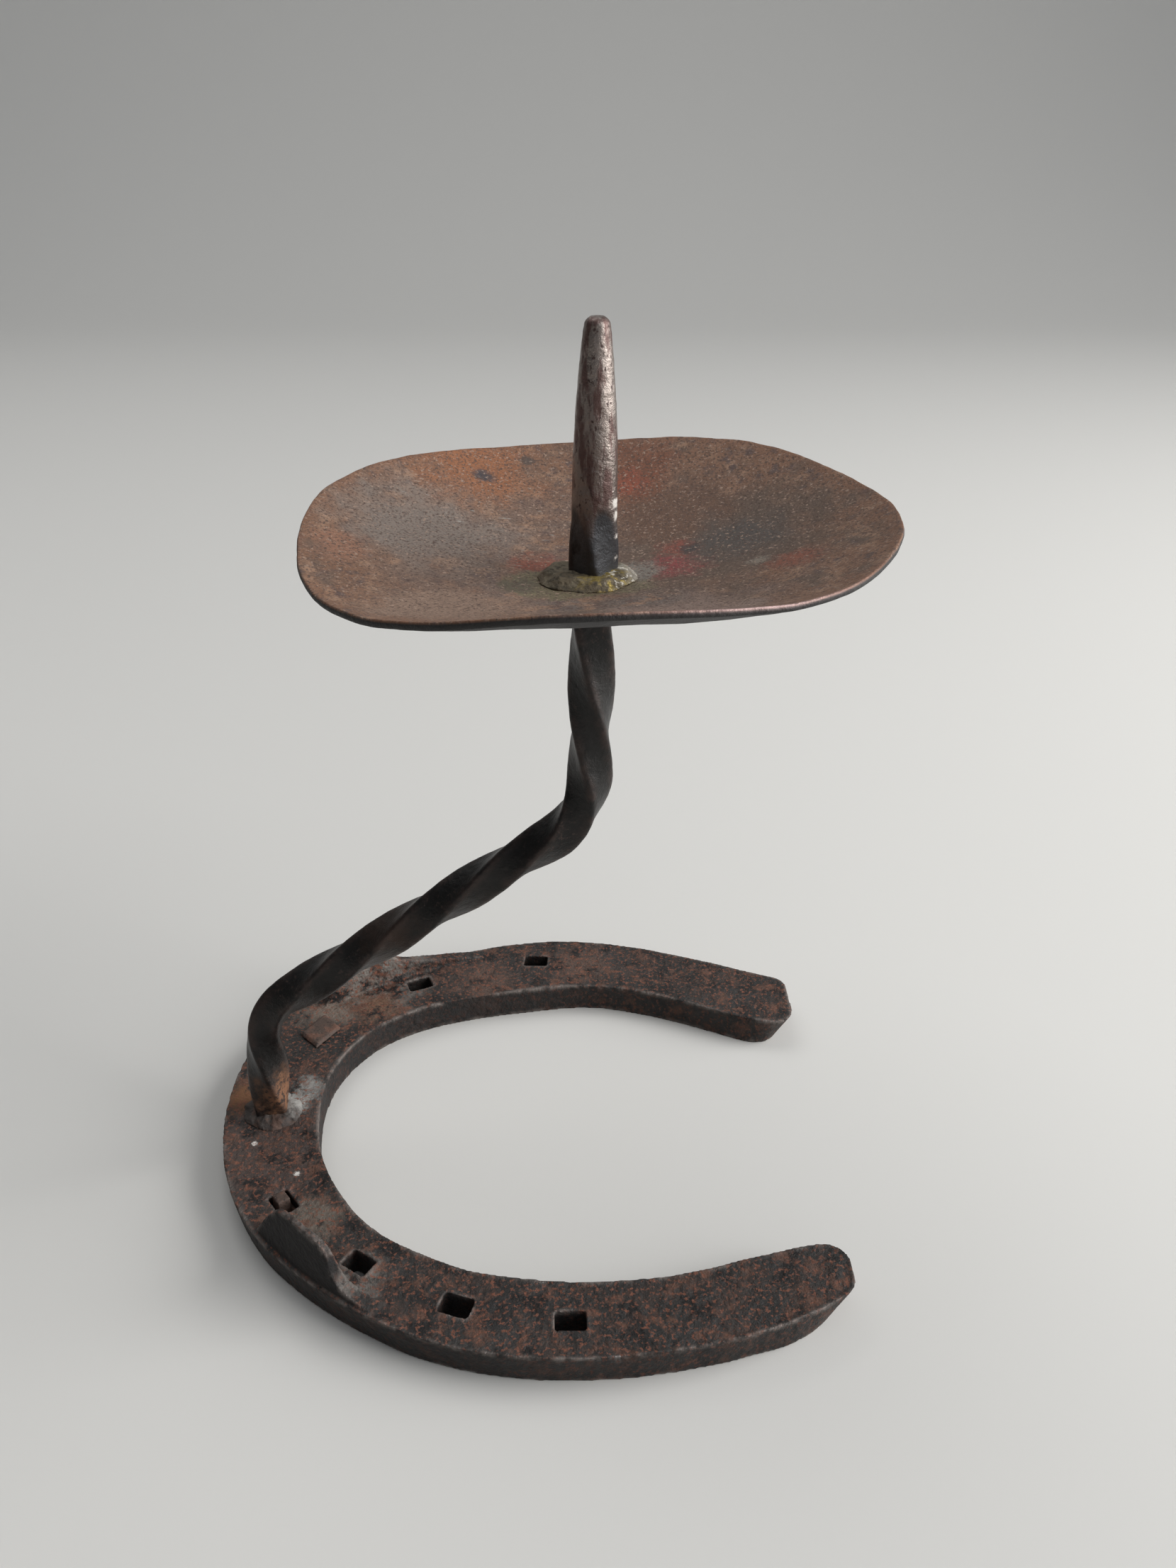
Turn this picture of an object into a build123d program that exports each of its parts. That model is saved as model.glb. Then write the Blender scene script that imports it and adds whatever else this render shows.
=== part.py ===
"""Pricket candlestick forged from a horseshoe.

A horseshoe lies flat as the foot.  One square bar, twisted left-handed, rises from its toe,
bends over the middle of the shoe and ends in a round tapered pricket for the candle.
A hand-beaten drip pan is threaded on the bar and brazed round the pricket's foot.

Millimetres.  +Z is up, the shoe's toe points to -X and its heels to +X.
The near branch is on -Y, the far branch on +Y.
"""

from build123d import *
import os
from math import atan2, cos, hypot, radians, sin

# ---------------------------------------------------------------- driving dimensions
# Horseshoe
SHOE_THICK = 8.5            # bar thickness of the shoe
WALL_SLOPE = 1.3            # how far the outer wall falls in towards the ground
HEEL_SLOPE = 4.0            # how far the pencilled heel ends fall in towards the ground
HEEL_CORNER = 5.6           # corner radius of the heel ends, on the hoof side
HEEL_CORNER_GROUND = 6.2    # and on the ground side
SHOE_MIDDLE = (6.0, 2.0)    # point that the walls face, for their slope

# Outer edge of the hoof side, from the near heel round the toe to the far heel
OUTER_EDGE = [
    (77.9, -57.0), (66.5, -64.2), (52.0, -69.9), (32.0, -74.1), (9.0, -75.5), (-16.0, -71.2),
    (-42.0, -57.8), (-62.0, -39.8), (-73.8, -16.5), (-77.6, 6.0), (-75.6, 25.0),
    (-63.5, 44.0), (-40.0, 61.3), (-15.0, 72.2), (8.0, 76.0), (30.0, 73.6), (54.0, 65.6),
    (77.0, 56.2),
]
# Inner edge, from the far heel round the toe to the near heel
INNER_EDGE = [
    (77.2, 36.4), (66.5, 37.0), (58.0, 40.2), (38.0, 48.8), (16.0, 53.2), (-4.0, 50.4), (-26.0, 44.4),
    (-43.0, 33.2), (-51.8, 16.0), (-52.6, -1.0), (-46.8, -21.4), (-33.0, -39.7),
    (-12.0, -51.2), (12.0, -55.2), (36.0, -53.8), (58.0, -47.8), (77.6, -43.4),
]

# Nail holes: centre and the direction of their long side in degrees
NEAR_HOLES = [(13.9, -66.0, 2.0), (-11.3, -61.7, -17.0), (-34.4, -50.3, -34.0), (-55.3, -32.0, -52.0)]
FAR_HOLES = [(1.6, 65.8, -2.0), (-32.7, 54.2, 22.0), (-58.2, 31.6, 52.0)]
HOLE_LONG = 6.9
HOLE_SHORT = 4.9
HOLE_FLARE = 1.32           # the holes widen by this ratio towards the ground

# Quarter clips: height of the top edge above the hoof side, against the distance along the clip
CLIP_FOOT = 4.2             # thickness where the clip leaves the shoe
CLIP_LIP = 1.5              # thickness along its top edge
CLIP_LEAN = 2.6             # how far the top leans in over the shoe
CLIP_ROOT = 3.0             # depth of the clip's root inside the shoe
CLIP_REACH = 13.0           # height up to which the clip's blank runs
NEAR_CLIP_RUN = [(-62.0, -39.8), (-53.2, -48.9), (-42.0, -57.8), (-27.0, -66.5)]
NEAR_CLIP_TOP = [(2.0, 0.0), (7.5, 8.0), (13.0, 12.2), (19.5, 12.0), (27.0, 9.8), (30.5, 3.4), (35.0, 1.3),
                 (42.0, 0.0)]
FAR_CLIP_RUN = [(-13.0, 72.9), (-26.0, 68.2), (-40.0, 61.3), (-51.0, 54.2), (-62.0, 45.4)]
FAR_CLIP_TOP = [(4.0, 0.0), (14.0, 2.0), (25.0, 4.6), (31.0, 7.2), (36.0, 11.2), (43.0, 11.6), (49.0, 7.6),
                (54.5, 0.0)]

# Twisted bar
BAR = 8.0                   # side of the square stock
BAR_PATH = [(-65.0, SHOE_THICK - 1.0), (-64.0, 40.6), (18.0, 96.8), (18.9, 161.0)]
BAR_BENDS = [17.0, 22.0]
FOOT_TURN = 20.0            # angle of the section at the foot, in degrees
# Twist: stretches of the bar and the length of a quarter turn in each; it slackens under the pan
BAR_TWIST = [(128.0, 24.5), (34.0, 23.0), (25.0, 27.9), (14.0, 36.9)]
SECTION_STEP = 7.0          # distance between the bar's sections

# Pricket: height and half width of the round taper, from where the bar's arrises have run out
PRICKET_PROFILE = [(172.5, 4.55), (181.0, 4.45), (192.0, 3.75), (202.4, 2.65), (204.6, 2.1)]
PRICKET_TIP = 205.5
PRICKET_TIP_FLAT = 1.4      # half width of the tip's worn flat

# Drip pan
PAN_MIDDLE = (19.9, 0.7)
PAN_RADIUS = 60.7
PAN_FLOOR = 153.6           # height of the inside of the pan at its middle
PAN_RIM = 167.1             # mean height of the rim
PAN_SHEET = 1.5             # sheet thickness, measured upright
PAN_DISHING = 2.1           # power of the rise from the middle to the rim
PAN_HOLE = 8.4              # square hole for the bar
RIM_POINTS = 16             # points that the rim's outline runs through
PAN_GRID = 14               # spans of the grid that the pan's surface runs over
# Beating waves: how many round the pan, their height and their direction in degrees
RIM_SWELL = [(2, 0.2, -100.0), (3, 0.3, 150.0), (7, 0.3, 20.0)]
RIM_LIFT = [(1, 2.7, 45.0), (2, 1.35, -124.0), (3, 1.75, 105.0), (4, 0.9, -60.0), (5, 0.4, -98.0)]

# Braze round the pricket's foot: it ran out in lobes, each off the bar's middle by x and y, with its radius
BRAZE_LOBES = [(-3.2, -0.4, 9.6), (1.2, 0.6, 8.9), (-0.6, -2.8, 8.2), (-1.5, 2.0, 7.6)]
BRAZE_HIGH = 2.3            # above the middle of the pan
BRAZE_BATTER = 3.2          # how far its sides fall in

# Weld bead round the bar's foot
WELD_MIDDLE = (-64.3, -0.4)
WELD_LOBES = [(-1.0, 0.2, 7.2), (0.4, -0.8, 6.9), (1.2, -0.4, 6.2)]
WELD_HIGH = 1.8
WELD_BATTER = 1.6

# Broken horseshoe nails left in two of the holes
NAIL_SUNK = 0.6             # how far the nail heads sit above the ground side
NAIL_NECK = 4.6             # height at which the head has narrowed to the shank
NAIL_SHANK = (3.7, 3.4)     # shank of the near nail, along and across its hole
NAIL_SHANK_SHIFT = 1.4      # how far that shank stands off the hole's middle
NAIL_PROUD = 0.7            # height of its broken end above the hoof side
NAIL_CAP = (8.2, 7.0)       # hammered-over end of the far nail
NAIL_CAP_HIGH = 1.1


# ---------------------------------------------------------------- horseshoe
def moved_in(point, distance):
    """The point moved level towards the middle of the shoe."""
    dx = SHOE_MIDDLE[0] - point[0]
    dy = SHOE_MIDDLE[1] - point[1]
    share = distance / hypot(dx, dy)
    return (point[0] + dx * share, point[1] + dy * share)


def shoe_outline(height, wall_inset, heel_inset, corner):
    """The shoe's outline at one height, as a level face."""
    outer = [moved_in(point, wall_inset) for point in OUTER_EDGE]
    inner = list(INNER_EDGE)
    outer[0] = (outer[0][0] - heel_inset, outer[0][1])
    outer[-1] = (outer[-1][0] - heel_inset, outer[-1][1])
    inner[0] = (inner[0][0] - heel_inset, inner[0][1])
    inner[-1] = (inner[-1][0] - heel_inset, inner[-1][1])
    edges = [
        Spline(*outer),
        Line(outer[-1], inner[0]),
        Spline(*inner),
        Line(inner[-1], outer[0]),
    ]
    outline = make_face(edges)
    return Pos(0, 0, height) * fillet(outline.vertices(), corner)


def nail_hole(x, y, turn):
    """The tapered hole that a horseshoe nail leaves, from below the ground side to above the hoof side."""
    beyond = 1.0
    slope = (HOLE_FLARE - 1.0) / SHOE_THICK
    wide = 1.0 + slope * (SHOE_THICK + beyond)
    narrow = 1.0 - slope * beyond
    place = Pos(x, y, 0) * Rot(0, 0, turn)
    ground = place * Pos(0, 0, -beyond) * Rectangle(HOLE_LONG * wide, HOLE_SHORT * wide)
    hoof = place * Pos(0, 0, SHOE_THICK + beyond) * Rectangle(HOLE_LONG * narrow, HOLE_SHORT * narrow)
    return loft([ground.face(), hoof.face()], ruled=True)


def clip_strip(run, height, outer_inset, thickness):
    """A level slice of a clip's blank, following the shoe's outer edge."""
    outside = [moved_in(point, outer_inset) for point in run]
    inside = [moved_in(point, outer_inset + thickness) for point in run]
    edges = [
        Spline(*outside),
        Line(outside[-1], inside[-1]),
        Spline(*reversed(inside)),
        Line(inside[0], outside[0]),
    ]
    return Pos(0, 0, height) * make_face(edges)


def quarter_clip(run, top_edge):
    """A clip drawn up out of the shoe's outer edge, thinning and leaning in towards its top."""
    blank = loft(
        [
            clip_strip(run, SHOE_THICK - CLIP_ROOT, WALL_SLOPE * CLIP_ROOT / SHOE_THICK, CLIP_FOOT),
            clip_strip(run, SHOE_THICK + CLIP_REACH, CLIP_LEAN, CLIP_LIP),
        ],
        ruled=True,
    )
    start = Vector(*run[0])
    along = (Vector(*run[-1]) - start).normalized()
    foot_level = (start.X, start.Y, SHOE_THICK)
    skyline_plane = Plane(origin=foot_level, x_dir=along, z_dir=along.cross(Vector(0, 0, 1)))
    crest = Spline(*top_edge)
    foot = -CLIP_ROOT
    base = Polyline(top_edge[-1], (top_edge[-1][0], foot), (top_edge[0][0], foot), top_edge[0])
    skyline = skyline_plane * make_face([crest, *base.edges()])
    return blank & extrude(skyline, amount=2 * SHOE_THICK, both=True)


def make_horseshoe():
    """The shoe with its seven nail holes and its two quarter clips."""
    shoe = loft(
        [
            shoe_outline(0, WALL_SLOPE, HEEL_SLOPE, HEEL_CORNER_GROUND).face(),
            shoe_outline(SHOE_THICK, 0, 0, HEEL_CORNER).face(),
        ],
        ruled=True,
    )
    shoe += quarter_clip(NEAR_CLIP_RUN, NEAR_CLIP_TOP)
    shoe += quarter_clip(FAR_CLIP_RUN, FAR_CLIP_TOP)
    for hole in NEAR_HOLES + FAR_HOLES:
        shoe -= nail_hole(*hole)
    return shoe


# ---------------------------------------------------------------- twisted bar and pricket
def bar_turn(distance):
    """Angle of the square section after this distance along the bar: a left-handed twist."""
    turn = FOOT_TURN
    for stretch, quarter in BAR_TWIST:
        turn -= 90.0 * min(max(distance, 0.0), stretch) / quarter
        distance -= stretch
    return turn


def bar_section(origin, ahead, turn, side):
    """A square across the bar, turned about the bar's own line."""
    plane = Plane(origin=origin, x_dir=(0, 1, 0), z_dir=ahead)
    return (plane * Rot(0, 0, turn) * Rectangle(side, side)).face()


def bar_route():
    """The bar's middle line up to where the pricket begins."""
    return FilletPolyline(*[(x, 0, z) for x, z in BAR_PATH], radius=BAR_BENDS)


def make_pricket(top, ahead, square):
    """The square bar's end drawn out: its facets run out into a round taper with a blunt tip."""
    beside = [(half, height - top.Z) for height, half in PRICKET_PROFILE]
    low = (0, beside[0][1])
    tip = (0, PRICKET_TIP - top.Z)
    tip_edge = (PRICKET_TIP_FLAT, tip[1])
    outline = Polyline(low, *beside, tip_edge, tip, close=True)
    taper = revolve(Plane.XZ * make_face(outline), Axis.Z)
    upright = Plane(origin=top, x_dir=(0, 1, 0), z_dir=ahead)
    round_root = upright * Pos(0, 0, low[1]) * Circle(beside[0][0])
    return loft([square, round_root.face()]) + upright * taper


def make_twisted_stem(route):
    """Square bar from the toe to above the pan, running out into the round pricket."""
    length = route.length
    count = round(length / SECTION_STEP)
    sections = []
    for index in range(count + 1):
        share = index / count
        sections.append(bar_section(route @ share, route % share, bar_turn(share * length), BAR))
    bar = split(loft(sections), Plane.XY.offset(SHOE_THICK), keep=Keep.TOP)
    return bar + make_pricket(route @ 1, route % 1, sections[-1])


# ---------------------------------------------------------------- drip pan
def waves(mean, terms, angle):
    """A mean value with the beating waves added, at this angle round the pan."""
    return mean + sum(height * cos(times * angle - radians(turn)) for times, height, turn in terms)


def pan_height(x, y):
    """Height of the pan's inside at a point seen from above."""
    dx = x - PAN_MIDDLE[0]
    dy = y - PAN_MIDDLE[1]
    angle = atan2(dy, dx)
    share = hypot(dx, dy) / waves(PAN_RADIUS, RIM_SWELL, angle)
    return PAN_FLOOR + (waves(PAN_RIM, RIM_LIFT, angle) - PAN_FLOOR) * share**PAN_DISHING


def pan_inside():
    """The pan's inside as one smooth surface, reaching past the rim."""
    reach = PAN_RADIUS + 6.0
    steps = [reach * (2 * index / PAN_GRID - 1) for index in range(PAN_GRID + 1)]
    grid = []
    for y_step in steps:
        y = PAN_MIDDLE[1] + y_step
        grid.append([(PAN_MIDDLE[0] + x_step, y, pan_height(PAN_MIDDLE[0] + x_step, y)) for x_step in steps])
    return Face.make_surface_from_array_of_points(grid)


def pan_plan():
    """The pan's outline seen from above, as a level face."""
    points = []
    for index in range(RIM_POINTS):
        angle = radians(360.0 * index / RIM_POINTS)
        reach = waves(PAN_RADIUS, RIM_SWELL, angle)
        points.append((PAN_MIDDLE[0] + reach * cos(angle), PAN_MIDDLE[1] + reach * sin(angle)))
    return make_face([Spline(*points, periodic=True)])


def make_drip_pan(inside, route):
    """The beaten sheet with the square hole that the bar passes through."""
    sheet = extrude(inside, amount=PAN_SHEET, dir=(0, 0, -1))
    blank = Pos(0, 0, PAN_FLOOR - 20) * extrude(pan_plan(), amount=50)
    top = route @ 1
    below_top = top.Z - PAN_FLOOR + PAN_SHEET / 2
    middle = top - (route % 1) * below_top
    square = Rot(0, 0, bar_turn(route.length - below_top)) * Rectangle(PAN_HOLE, PAN_HOLE)
    hole = Pos(middle.X, middle.Y, PAN_FLOOR - 10) * extrude(square, amount=20)
    return (sheet & blank) - hole


# ---------------------------------------------------------------- braze, weld and nails
def run_metal(middle, lobes, height, rise, batter):
    """Metal that ran out in lobes round a middle and set: overlapping cones with level tops."""
    cones = []
    for dx, dy, radius in lobes:
        place = Pos(middle[0] + dx, middle[1] + dy, height + rise / 2)
        cones.append(place * Cone(radius, radius - batter, rise))
    mound = cones[0]
    for cone in cones[1:]:
        mound += cone
    return mound


def make_pan_braze(inside, route, stem):
    """Brass run round the pricket's foot and out over the pan."""
    foot = route @ 1
    low = PAN_FLOOR - 0.2
    mound = run_metal((foot.X, foot.Y), BRAZE_LOBES, low, PAN_FLOOR + BRAZE_HIGH - low, BRAZE_BATTER)
    under_the_inside = extrude(inside, amount=20, dir=(0, 0, -1))
    return mound - under_the_inside - stem


def make_foot_weld(stem):
    """Weld bead that holds the bar's foot on the toe."""
    return run_metal(WELD_MIDDLE, WELD_LOBES, SHOE_THICK, WELD_HIGH, WELD_BATTER) - stem


def slab(low, high):
    """A level slab that takes in the whole shoe between two heights."""
    return Pos(0, 0, (low + high) / 2) * Box(300, 300, high - low)


def tapered_block(size, height, top_share):
    """A block that narrows upwards."""
    top = [side * top_share for side in size]
    high = Pos(0, 0, height) * Rectangle(*top)
    return loft([Rectangle(*size).face(), high.face()], ruled=True)


def make_nail_stub_near():
    """Nail broken off in its hole, its shank standing in one end of the hole."""
    x, y, turn = NEAR_HOLES[-1]
    head = nail_hole(x, y, turn) & slab(NAIL_SUNK, NAIL_NECK)
    shank_high = SHOE_THICK + NAIL_PROUD - NAIL_NECK
    shank = Pos(NAIL_SHANK_SHIFT, 0, NAIL_NECK) * tapered_block(NAIL_SHANK, shank_high, 0.9)
    return head + Pos(x, y, 0) * Rot(0, 0, turn + 180.0) * shank


def make_nail_stub_far():
    """Nail hammered over: it fills its hole and its end is spread on the hoof side."""
    x, y, turn = FAR_HOLES[-1]
    shank = nail_hole(x, y, turn) & slab(NAIL_SUNK, SHOE_THICK)
    cap = tapered_block(NAIL_CAP, NAIL_CAP_HIGH, 0.78)
    return shank + Pos(x, y, SHOE_THICK) * Rot(0, 0, turn) * cap


# ---------------------------------------------------------------- assembly
def make_parts():
    """Every piece by its node name, the origin still at the middle of the shoe."""
    route = bar_route()
    stem = make_twisted_stem(route)
    inside = pan_inside()
    return {
        "horseshoe": make_horseshoe(),
        "twisted_stem": stem,
        "drip_pan": make_drip_pan(inside, route),
        "pan_braze": make_pan_braze(inside, route, stem),
        "foot_weld": make_foot_weld(stem),
        "nail_stub_near": make_nail_stub_near(),
        "nail_stub_far": make_nail_stub_far(),
    }


def main():
    """Write each piece with the origin under the middle of the whole candlestick."""
    parts = make_parts()
    whole = Compound([part.solid() for part in parts.values()]).bounding_box()
    to_origin = Pos(-whole.center().X, -whole.center().Y, -whole.min.Z)
    os.makedirs("parts", exist_ok=True)
    for name, part in parts.items():
        export_step(to_origin * part.solid(), f"parts/{name}.step")
    print("moved by", to_origin.position)


main()
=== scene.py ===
"""Pricket candlestick forged from a horseshoe: the looks of each piece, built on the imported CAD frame.

Laid out as an add-on: settings, one operator for each piece or group of like pieces, and a sidebar panel.
Everything is in metres.  The shoe's toe points to -X, its near branch lies on -Y and +Z is up.
"""

from functools import partial
from math import atan2, cos, pi, radians, sin, tan

import bpy
import numpy as np
from bpy.props import FloatProperty, FloatVectorProperty, IntProperty, PointerProperty
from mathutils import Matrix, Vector, noise


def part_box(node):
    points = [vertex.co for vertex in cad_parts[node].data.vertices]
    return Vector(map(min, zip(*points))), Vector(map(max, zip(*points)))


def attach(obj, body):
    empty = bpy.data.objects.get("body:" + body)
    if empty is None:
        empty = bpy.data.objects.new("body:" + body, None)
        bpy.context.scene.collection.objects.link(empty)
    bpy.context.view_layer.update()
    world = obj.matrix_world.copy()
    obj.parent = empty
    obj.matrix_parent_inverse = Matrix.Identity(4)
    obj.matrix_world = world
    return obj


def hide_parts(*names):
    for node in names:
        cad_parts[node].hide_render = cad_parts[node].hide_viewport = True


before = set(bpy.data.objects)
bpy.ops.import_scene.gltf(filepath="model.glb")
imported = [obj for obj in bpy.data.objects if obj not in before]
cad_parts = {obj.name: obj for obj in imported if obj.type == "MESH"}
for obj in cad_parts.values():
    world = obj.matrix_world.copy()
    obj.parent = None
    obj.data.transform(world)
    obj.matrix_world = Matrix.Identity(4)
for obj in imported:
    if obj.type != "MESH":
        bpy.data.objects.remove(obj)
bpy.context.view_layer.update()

bl_info = {
    "name": "Horseshoe candlestick",
    "version": (1, 0, 0),
    "blender": (4, 5, 0),
    "location": "View3D > Sidebar > Candlestick",
    "description": "A pricket candlestick made from a horseshoe, a twisted bar and a beaten drip pan",
    "category": "Add Mesh",
}

MM = 0.001
WINDOW_SIDE = (0.85, 0.1, 0.5)  # the way to the window

# The bar's middle line: corners of its bent path, level and upright, and the radii of its two bends
BAR_PATH = [(-65.0, 7.5), (-64.0, 40.6), (18.0, 96.8), (18.9, 161.0)]
BAR_BENDS = [17.0, 22.0]
BAR_AT_FOOT = (-65.0, 0.0)  # the bar's middle at the shoe, and where it goes through the pan
BAR_AT_PAN = (18.8, 0.0)
# Stretches of the bar and the length of a quarter turn in each; the twist slackens under the pan
BAR_TWIST = [(128.0, 24.5), (34.0, 23.0), (25.0, 27.9), (14.0, 36.9)]
PRICKET_FOOT = 161.0  # height where the bar begins to be drawn out
FACET_END = (165.0, 171.5)  # heights between which the square's flats run out
PRICKET_TIP = 205.5
TIP_ROUNDING = 1.4  # how far down the tip's rounding begins
TIP_DRAW_IN = 0.8  # how far in the rounding goes, as a share of the half width
# Height and half width of the pricket's round taper
PRICKET_TAPER = [
    (161.0, 5.5), (166.0, 4.95), (170.0, 4.62), (175.7, 4.6), (181.2, 4.45), (186.7, 4.15), (192.0, 3.75),
    (197.3, 3.35), (202.4, 2.8), (204.6, 2.5),
]

SWELL = 2.2  # how far the shoe's outer edge swells, on the far side beyond the bar's foot
SWELL_REACH = 6.5
SWELL_MIDDLE = (-65.0, 40.0)
SWELL_WAY = (-0.86, 0.5)  # outward from the shoe there

# The pan's middle, the height of its floor and the mean height of its rim
PAN_MIDDLE = (19.9, 0.7)
PAN_FLOOR = 153.6
PAN_RIM = 167.1
# Beating waves of the rim's radius and height: how many go round, how high, and where to in degrees
RIM_SWELL = [(2, 0.2, -100.0), (3, 0.3, 150.0), (7, 0.3, 20.0)]
RIM_LIFT = [(1, 2.7, 45.0), (2, 1.35, -124.0), (3, 1.75, 105.0), (4, 0.9, -60.0), (5, 0.4, -98.0)]


# --- small helpers
def linear(hex_colour):
    """An sRGB hex colour as the linear red, green, blue and alpha that Blender works in."""
    channels = [int(hex_colour[i : i + 2], 16) / 255 for i in (1, 3, 5)]
    return tuple(c / 12.92 if c <= 0.04045 else ((c + 0.055) / 1.055) ** 2.4 for c in channels) + (1.0,)


def ease(value, low, high):
    """0 below low, 1 above high and a smooth step between; low may be the larger."""
    share = np.clip((value - low) / (high - low), 0.0, 1.0)
    return share * share * (3.0 - 2.0 * share)


def between(values, limits):
    """The same step for values in metres, between two limits in millimetres."""
    low, high = limits
    return ease(values, low * MM, high * MM)


def grain(points, size, octaves, seed):
    """Seeded smooth noise, about -1 to 1, at each point, with lumps of about this size."""
    offset = Vector((seed * 17.3, seed * 5.1, seed * 9.7))
    return np.array([noise.fractal(Vector(point) / size + offset, 1.0, 2.0, octaves) for point in points])


def waves(mean, terms, angle):
    """A mean value with the beating waves added, at this angle round the pan."""
    return mean + sum(height * np.cos(times * angle - radians(turn)) for times, height, turn in terms)


def colour_property(name, description, hex_colour):
    """A colour setting with its default."""
    return FloatVectorProperty(
        name=name, description=description, subtype="COLOR", size=4, min=0.0, max=1.0,
        default=linear(hex_colour),
    )


def length_property(name, description, millimetres):
    """A length setting with its default."""
    return FloatProperty(
        name=name, description=description, subtype="DISTANCE", unit="LENGTH", min=0.0, precision=5,
        default=millimetres * MM,
    )


def tube_faces(stations, around):
    """Quads between rings of points that follow each other, each ring closed on itself."""
    ring = np.arange(around)
    start = np.arange(stations - 1)[:, None] * around
    low = start + ring
    low_next = start + (ring + 1) % around
    return np.stack([low, low_next, low_next + around, low + around], axis=-1).reshape(-1, 4).tolist()


def finish_piece(name, vertices, faces, material, node, masks):
    """Makes the mesh object of a piece, gives it its masks and material and hands it to the frame."""
    mesh = bpy.data.meshes.new(name)
    mesh.from_pydata(np.asarray(vertices).tolist(), [], faces)
    mesh.validate()
    mesh.update()
    for mask, values in masks.items():
        layer = mesh.attributes.new(mask, "FLOAT", "POINT")
        layer.data.foreach_set("value", np.asarray(values, dtype=np.float32))
    mesh.shade_smooth()
    mesh.materials.append(material)
    piece = bpy.data.objects.new(name, mesh)
    bpy.context.scene.collection.objects.link(piece)
    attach(piece, "root")
    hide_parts(node)
    return piece


def fine_skin(node, voxel, easing):
    """A fine, even skin over a CAD node with its corners eased: its mesh, points and normals."""
    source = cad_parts[node]
    worked = bpy.data.objects.new("skin", source.data.copy())
    bpy.context.scene.collection.objects.link(worked)
    skin = worked.modifiers.new("Skin", "REMESH")
    skin.mode = "VOXEL"
    skin.voxel_size = voxel
    eased = worked.modifiers.new("Eased", "SMOOTH")
    eased.factor = 0.5
    eased.iterations = easing
    graph = bpy.context.evaluated_depsgraph_get()
    mesh = bpy.data.meshes.new_from_object(worked.evaluated_get(graph))
    bpy.data.objects.remove(worked)
    if not mesh.vertices:
        raise RuntimeError(f"the skin over {node} came out empty")
    points = np.zeros(len(mesh.vertices) * 3)
    mesh.vertices.foreach_get("co", points)
    normals = np.zeros(len(mesh.vertices) * 3)
    mesh.vertices.foreach_get("normal", normals)
    return mesh, points.reshape(-1, 3), normals.reshape(-1, 3)


def neighbour_mean(mesh, values):
    """The mean of each vertex's neighbours, for numbers or points."""
    edges = np.zeros(len(mesh.edges) * 2, dtype=np.int32)
    mesh.edges.foreach_get("vertices", edges)
    first, second = edges.reshape(-1, 2).T
    count = np.bincount(np.concatenate([first, second]), minlength=len(values))
    total = np.zeros_like(values)
    np.add.at(total, first, values[second])
    np.add.at(total, second, values[first])
    return total / np.maximum(count, 1).reshape((-1,) + (1,) * (values.ndim - 1))


EDGE_GAIN = 12.0  # how strongly a bend in the skin counts as an edge
EDGE_SPREAD = 0.6  # share that a point takes from its neighbours in each pass
EDGE_LIFT = 1.6  # brings the spread edge back to full strength


def edge_mask(mesh, points, normals, voxel, passes):
    """How sharply each point stands out on an outer edge, 0 to 1, spread over a few points."""
    hollow = ((neighbour_mean(mesh, points) - points) * normals).sum(axis=1) / voxel
    standing_out = np.clip(-hollow * EDGE_GAIN, 0.0, 1.0)
    for _ in range(passes):
        shared = neighbour_mean(mesh, standing_out)
        standing_out = (1.0 - EDGE_SPREAD) * standing_out + EDGE_SPREAD * shared
    return np.clip(standing_out * EDGE_LIFT, 0.0, 1.0)


def faces_of(mesh):
    """The mesh's faces as lists of vertex numbers."""
    return [list(face.vertices) for face in mesh.polygons]


def tip_shift():
    """How far the bar path's own zero stands from the frame's origin, from the pricket's tip."""
    tip_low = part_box("twisted_stem")[1].z - 0.2 * MM
    tip = [v.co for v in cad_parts["twisted_stem"].data.vertices if v.co.z > tip_low]
    middle = sum(tip, Vector()) / len(tip)
    (x_low, z_low), (x_high, z_high) = BAR_PATH[-2:]
    tip_x = x_high + (PRICKET_TIP - z_high) * (x_high - x_low) / (z_high - z_low)
    return np.array([middle.x - tip_x * MM, middle.y, 0.0])


SHIFT = tip_shift()


def in_frame(x, y, z):
    """A place in the bar path's own millimetres as a place in the frame, in metres."""
    return (x * MM + SHIFT[0], y * MM + SHIFT[1], z * MM)


# --- materials
def add(tree, kind, settings=None, links=None, **fields):
    """Adds a node with its own fields, its input settings and the sockets that feed its inputs."""
    node = tree.nodes.new(kind)
    for name, value in fields.items():
        setattr(node, name, value)
    for socket, value in (settings or {}).items():
        node.inputs[socket].default_value = value
    for socket, source in (links or {}).items():
        tree.links.new(source, node.inputs[socket])
    return node


def new_tree(name, *masks):
    """A new material, its empty node tree, the object's own coordinates in metres and its mesh's masks."""
    material = bpy.data.materials.new(name)
    material.use_nodes = True
    tree = material.node_tree
    tree.nodes.clear()
    place = add(tree, "ShaderNodeTexCoord").outputs["Object"]
    return material, tree, place, *(
        add(tree, "ShaderNodeAttribute", attribute_name=mask).outputs["Fac"] for mask in masks
    )


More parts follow.
